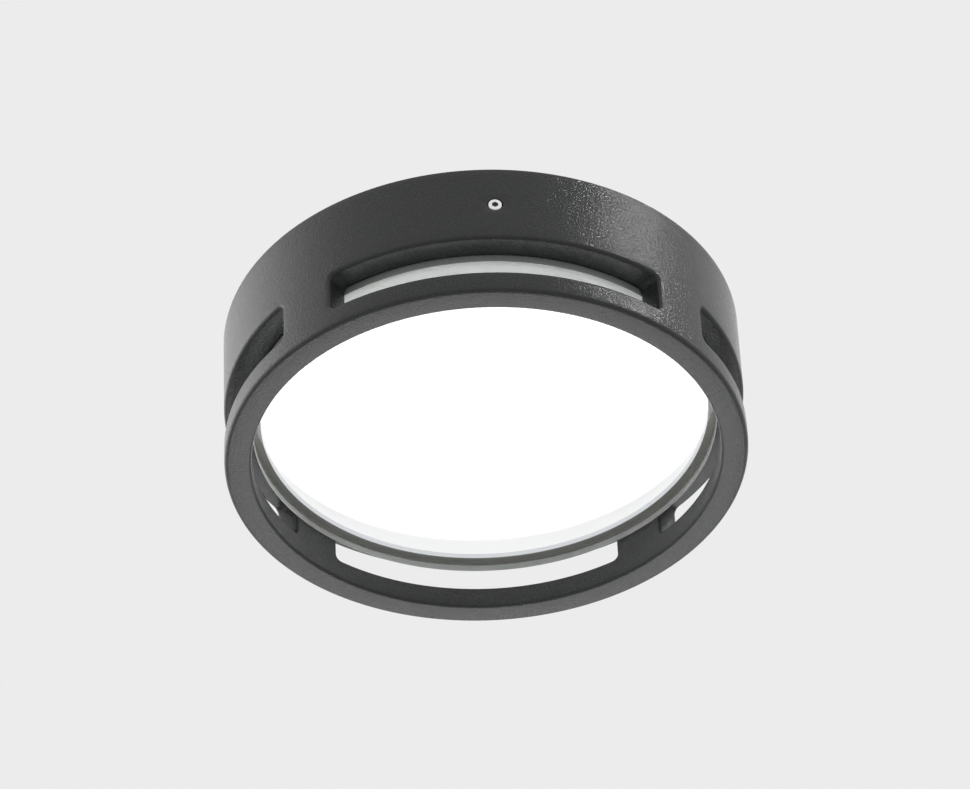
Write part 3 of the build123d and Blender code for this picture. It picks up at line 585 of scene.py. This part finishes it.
# powder coat: a fine rough texture whose grains catch the light one by one. Real grains are about
# a third of a millimetre, too fine to show, so they are drawn at 0.88 to a millimetre, with specks
# between them at 2.2 to a millimetre.
grain_size, speck_size, grain_relief = mm / 0.88, mm / 2.2, 0.29 * mm
powder_coat, tree, shader, on_piece = new_finish("Textured dark grey powder coat", {
    "Roughness": 0.14, "Specular IOR Level": 0.32,
})
grains = add_node(tree, "ShaderNodeTexNoise", {
    "Scale": 1 / grain_size, "Detail": 2.0, "Roughness": 0.6,
}, on_piece)
specks = add_node(tree, "ShaderNodeTexNoise", {"Scale": 1 / speck_size, "Detail": 1.0}, on_piece)
height = add_node(tree, "ShaderNodeMath", {"operation": "MULTIPLY_ADD", 1: 0.5}, {
    0: (specks, "Fac"), 2: (grains, "Fac"),
})
skin = add_node(tree, "ShaderNodeBump", {"Strength": 1.0, "Distance": grain_relief}, {
    "Height": (height, "Value"),
})
contrast = add_node(tree, "ShaderNodeMapRange", {"From Min": 0.35, "From Max": 0.65}, {
    "Value": (specks, "Fac"),
})
shade = add_node(tree, "ShaderNodeMix", {
    "data_type": "RGBA", first_colour: linear("2C2D2E"), second_colour: linear("404143"),
}, {0: (contrast, "Result")})
tree.links.new(shade.outputs[mixed], shader.inputs["Base Color"])
tree.links.new(skin.outputs["Normal"], shader.inputs["Normal"])
cast.materials.append(powder_coat)
drum = new_piece("drum_casting", cast, radians(40))
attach(drum, "drum")
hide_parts("drum")

# Side screws: M4 x 8 cylinder head cap screws in stainless steel, cold headed with a hex socket.
# Their heads sit in the drum's sunk seats and are the only bright metal on the outside. Each turns
# and backs out by itself, so one tree of nodes makes them one at a time.

# finishes: the die leaves fine marks on the head, 2.6 to a millimetre, and coarser ones in the socket
rolled_mark, drawn_mark = mm / 2.6, mm / 1.8
screw_finishes = []
for name, colour, mark, detail, dullest, brightest in (
    ("Bright stainless steel", "F0F0EE", rolled_mark, 1.0, 0.3, 0.16),
    ("Pressed socket, dull from its lubricant", "A8A8A8", drawn_mark, 2.0, 0.65, 0.45),
):
    finish, tree, shader, on_piece = new_finish(name, {"Base Color": linear(colour), "Metallic": 1.0})
    marks = add_node(tree, "ShaderNodeTexNoise", {"Scale": 1 / mark, "Detail": detail}, on_piece)
    spread = add_node(tree, "ShaderNodeMapRange", {"To Min": brightest, "To Max": dullest}, {
        "Value": (marks, "Fac"),
    })
    tree.links.new(spread.outputs["Result"], shader.inputs["Roughness"])
    screw_finishes.append(finish)
bright, pressed = screw_finishes

cap_screw = bpy.data.node_groups.new("cap_screw", "GeometryNodeTree")
entries = {}
for label, kind in (
    ("Blank", "NodeSocketGeometry"), ("Head radius", "NodeSocketFloat"), ("Head height", "NodeSocketFloat"),
    ("Head bevel", "NodeSocketFloat"), ("Socket width", "NodeSocketFloat"),
    ("Socket depth", "NodeSocketFloat"), ("Core radius", "NodeSocketFloat"), ("Length", "NodeSocketFloat"),
    ("Pitch", "NodeSocketFloat"), ("Place", "NodeSocketVector"), ("Turn", "NodeSocketVector"),
    ("Steel", "NodeSocketMaterial"),
):
    entries[label] = cap_screw.interface.new_socket(label, in_out="INPUT", socket_type=kind).identifier
cap_screw.interface.new_socket("Screw", in_out="OUTPUT", socket_type="NodeSocketGeometry")
given = add_node(cap_screw, "NodeGroupInput")


def worked_out(operation, first, second):
    """A sum in the screw's tree, each side a (node, output) or a plain number."""
    sides = {0: first, 1: second}
    plain = {i: side for i, side in sides.items() if not isinstance(side, tuple)}
    fed = {i: side for i, side in sides.items() if isinstance(side, tuple)}
    return add_node(cap_screw, "ShaderNodeMath", {"operation": operation, **plain}, fed), "Value"


# head: a disc drawn up, with its top edge bevelled, and the hexagon pressed into it
disc_face = add_node(cap_screw, "GeometryNodeMeshCircle", {"fill_type": "NGON", "Vertices": 48}, {
    "Radius": (given, "Head radius"),
})
straight = worked_out("SUBTRACT", (given, "Head height"), (given, "Head bevel"))
side_wall = add_node(cap_screw, "GeometryNodeExtrudeMesh", {"mode": "FACES"}, {
    "Mesh": (disc_face, "Mesh"), "Offset Scale": straight,
})
bevel_wall = add_node(cap_screw, "GeometryNodeExtrudeMesh", {"mode": "FACES"}, {
    "Mesh": (side_wall, "Mesh"), "Selection": (side_wall, "Top"), "Offset Scale": (given, "Head bevel"),
})
crown_radius = worked_out("SUBTRACT", (given, "Head radius"), (given, "Head bevel"))
narrowing = worked_out("DIVIDE", crown_radius, (given, "Head radius"))
crown = add_node(cap_screw, "GeometryNodeScaleElements", {"domain": "FACE"}, {
    "Geometry": (bevel_wall, "Mesh"), "Selection": (bevel_wall, "Top"), "Scale": narrowing,
})
underside = add_node(cap_screw, "GeometryNodeFlipFaces", None, {"Mesh": (disc_face, "Mesh")})
head_skin = add_node(cap_screw, "GeometryNodeJoinGeometry", None, {"Geometry": (crown, "Geometry")})
cap_screw.links.new(underside.outputs["Mesh"], head_skin.inputs["Geometry"])
screw_head = add_node(cap_screw, "GeometryNodeMergeByDistance", {"Distance": 0.001 * mm}, {
    "Geometry": (head_skin, "Geometry"),
})
key_radius = worked_out("DIVIDE", (given, "Socket width"), sqrt(3))
key_depth = worked_out("MULTIPLY", (given, "Socket depth"), 2.0)
key = add_node(cap_screw, "GeometryNodeMeshCylinder", {"Vertices": 6}, {
    "Radius": key_radius, "Depth": key_depth,
})
key_place = add_node(cap_screw, "ShaderNodeCombineXYZ", None, {"Z": (given, "Head height")})
key_set = add_node(cap_screw, "GeometryNodeTransform", None, {
    "Geometry": (key, "Mesh"), "Translation": (key_place, "Vector"),
})
socketed = add_node(cap_screw, "GeometryNodeMeshBoolean", {"operation": "DIFFERENCE", "solver": "EXACT"}, {
    "Mesh 1": (screw_head, "Geometry"), "Mesh 2": (key_set, "Geometry"),
})

# shank: a plain core with the rolled thread wound round it, a four-sided ridge sunk in the core
core = add_node(cap_screw, "GeometryNodeMeshCylinder", {"Vertices": 32}, {
    "Radius": (given, "Core radius"), "Depth": (given, "Length"),
})
half_down = worked_out("MULTIPLY", (given, "Length"), -0.5)
core_place = add_node(cap_screw, "ShaderNodeCombineXYZ", None, {"Z": half_down})
core_set = add_node(cap_screw, "GeometryNodeTransform", None, {
    "Geometry": (core, "Mesh"), "Translation": (core_place, "Vector"),
})
wound = worked_out("SUBTRACT", (given, "Length"), (given, "Pitch"))
turns_round = worked_out("DIVIDE", wound, (given, "Pitch"))
spiral = add_node(cap_screw, "GeometryNodeCurveSpiral", {"Resolution": 24}, {
    "Rotations": turns_round, "Start Radius": (given, "Core radius"),
    "End Radius": (given, "Core radius"), "Height": wound,
})
ridge_radius = worked_out("MULTIPLY", (given, "Pitch"), 0.4)
ridge = add_node(cap_screw, "GeometryNodeCurvePrimitiveCircle", {"Resolution": 4}, {"Radius": ridge_radius})
thread = add_node(cap_screw, "GeometryNodeCurveToMesh", {"Fill Caps": True}, {
    "Curve": (spiral, "Curve"), "Profile Curve": (ridge, "Curve"),
})
lift = worked_out("MULTIPLY", (given, "Pitch"), 0.45)
thread_low = worked_out("SUBTRACT", lift, (given, "Length"))
thread_place = add_node(cap_screw, "ShaderNodeCombineXYZ", None, {"Z": thread_low})
thread_set = add_node(cap_screw, "GeometryNodeTransform", None, {
    "Geometry": (thread, "Mesh"), "Translation": (thread_place, "Vector"),
})

together = add_node(cap_screw, "GeometryNodeJoinGeometry", None, {"Geometry": (socketed, "Mesh")})
for part in (core_set, thread_set):
    cap_screw.links.new(part.outputs["Geometry"], together.inputs["Geometry"])
placed = add_node(cap_screw, "GeometryNodeTransform", None, {
    "Geometry": (together, "Geometry"), "Translation": (given, "Place"), "Rotation": (given, "Turn"),
})
real = add_node(cap_screw, "GeometryNodeRealizeInstances", None, {"Geometry": (placed, "Geometry")})
steeled = add_node(cap_screw, "GeometryNodeSetMaterial", None, {
    "Geometry": (real, "Geometry"), "Material": (given, "Steel"),
})
add_node(cap_screw, "NodeGroupOutput", None, {0: (steeled, "Geometry")})

# each screw stands on its seat, and the faces in the room round its socket take the dull finish
screw_seat = 125.8 * mm
socket_low, socket_high, socket_reach = 1.5 * mm, 3.9 * mm, 1.9 * mm
for name, angle in side_screw_angles.items():
    outward = Vector((cos(angle), sin(angle), 0))
    seat = outward * screw_seat + Vector((0, 0, screw_z))
    blank = bpy.data.objects.new(f"{name}_screw_blank", bpy.data.meshes.new(f"{name}_screw_blank"))
    bpy.context.scene.collection.objects.link(blank)
    turning = blank.modifiers.new("cap screw", "NODES")
    turning.node_group = cap_screw
    for label, value in {
        "Head radius": 3.5 * mm, "Head height": 4 * mm, "Head bevel": 0.35 * mm, "Socket width": 3 * mm,
        "Socket depth": 2.2 * mm, "Core radius": 1.62 * mm, "Length": 8 * mm, "Pitch": 0.7 * mm,
        "Place": tuple(seat), "Turn": (0.0, pi / 2, angle), "Steel": bright,
    }.items():
        turning[entries[label]] = value
    shown = blank.evaluated_get(bpy.context.evaluated_depsgraph_get())
    screw_mesh = bpy.data.meshes.new_from_object(shown)
    screw_mesh.name = f"cap_screw_{name}"
    bpy.data.objects.remove(blank)
    screw_mesh.materials.append(pressed)
    socket_slot = len(screw_mesh.materials) - 1
    for face in screw_mesh.polygons:
        rise = (face.center - seat).dot(outward)
        aside = (face.center - seat - outward * rise).length
        if socket_low < rise < socket_high and aside < socket_reach:
            face.material_index = socket_slot
    side_screw = new_piece(f"cap_screw_{name}", screw_mesh, radians(30))
    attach(side_screw, f"side_screw_{name}")
    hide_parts(f"side_screw_{name}")

# Camera: a long lens 2.4 m off, below the light and in front of it, looking up at 40 degrees.
# The matrix turns the lens's own ways into the object's, and the lens stands off from the middle
# of the drum's lower edge.
lens_distance = 2420 * mm
slant, tilt, turn = radians(39.974), radians(-2.884), radians(2.7)
up = Vector((sin(tilt) * cos(slant), cos(tilt) * cos(slant), -sin(slant)))
right = Vector((1, 0, 0)) - up * up.x
right.normalize()
ahead = up.cross(right)
axis_x = cos(turn) * right + sin(turn) * ahead
axis_y = cos(turn) * ahead - sin(turn) * right
seen = Matrix((axis_x, axis_y, up))
lower_middle = Vector((0.9 * mm, -34.04 * mm, -lens_distance))
spot = seen @ -lower_middle + Vector((0, 0, lower_z))
lens = bpy.data.cameras.new("camera")
lens.lens = 181.15
lens.sensor_width = 36.0
camera = bpy.data.objects.new("camera", lens)
camera.matrix_world = Matrix.Translation(spot) @ seen.to_4x4()
bpy.context.scene.collection.objects.link(camera)
bpy.context.scene.camera = camera

# Studio: a pale floor well below and pale paper all round, with a wide soft panel on the left,
# a small soft box high on the right, and a wide dim panel low behind the light.
floor_z, floor_reach = -2.2, 5.0
corners = [(x * floor_reach, y * floor_reach, floor_z) for x, y in ((-1, -1), (1, -1), (1, 1), (-1, 1))]
floor_mesh = bpy.data.meshes.new("studio_floor")
floor_mesh.from_pydata(corners, [], [[0, 1, 2, 3]])
studio_floor = bpy.data.objects.new("studio_floor", floor_mesh)
bpy.context.scene.collection.objects.link(studio_floor)
paper = new_finish("Pale floor", {"Base Color": linear("E6E6E6"), "Roughness": 0.8})[0]
floor_mesh.materials.append(paper)

# what the lens, a mirror or the glass sees is the pale paper, and all else is lit by a dimmer room
world = bpy.data.worlds.new("studio")
bpy.context.scene.world = world
world.use_nodes = True
tree = world.node_tree
paths = add_node(tree, "ShaderNodeLightPath")
seen_or_mirrored = add_node(tree, "ShaderNodeMath", {"operation": "MAXIMUM"}, {
    0: (paths, "Is Camera Ray"), 1: (paths, "Is Glossy Ray"),
})
paper_ray = add_node(tree, "ShaderNodeMath", {"operation": "MAXIMUM"}, {
    0: (seen_or_mirrored, "Value"), 1: (paths, "Is Transmission Ray"),
})
paper_light = add_node(tree, "ShaderNodeBackground", {"Color": linear("ECECEC"), "Strength": 1.0})
room_light = add_node(tree, "ShaderNodeBackground", {"Color": linear("FFFFFF"), "Strength": 0.47})
both = add_node(tree, "ShaderNodeMixShader", None, {
    0: (paper_ray, "Value"), 1: (room_light, "Background"), 2: (paper_light, "Background"),
})
tree.links.new(both.outputs["Shader"], tree.nodes["World Output"].inputs["Surface"])

lamp_aim = Vector((0, 0, lower_z / 2))
for name, place, size, power in (
    ("panel_left", (-2.30, 0.95, 0.60), 2.80, 37.0),
    ("box_right", (1.41, -0.57, 1.30), 0.14, 9.5),
    ("panel_low", (0.15, 1.90, -1.65), 1.60, 21.0),
):
    box_light = bpy.data.lights.new(name, "AREA")
    box_light.shape = "SQUARE"
    box_light.size = size
    box_light.energy = power
    lamp = bpy.data.objects.new(name, box_light)
    lamp.location = place
    lamp.rotation_mode = "QUATERNION"
    lamp.rotation_quaternion = (lamp_aim - Vector(place)).to_track_quat("-Z", "Y")
    lamp.visible_camera = False
    bpy.context.scene.collection.objects.link(lamp)

bpy.context.scene.view_settings.view_transform = "Standard"
bpy.context.scene.cycles.glossy_bounces = 16
bpy.context.scene.cycles.transmission_bounces = 24
bpy.context.scene.cycles.max_bounces = 32
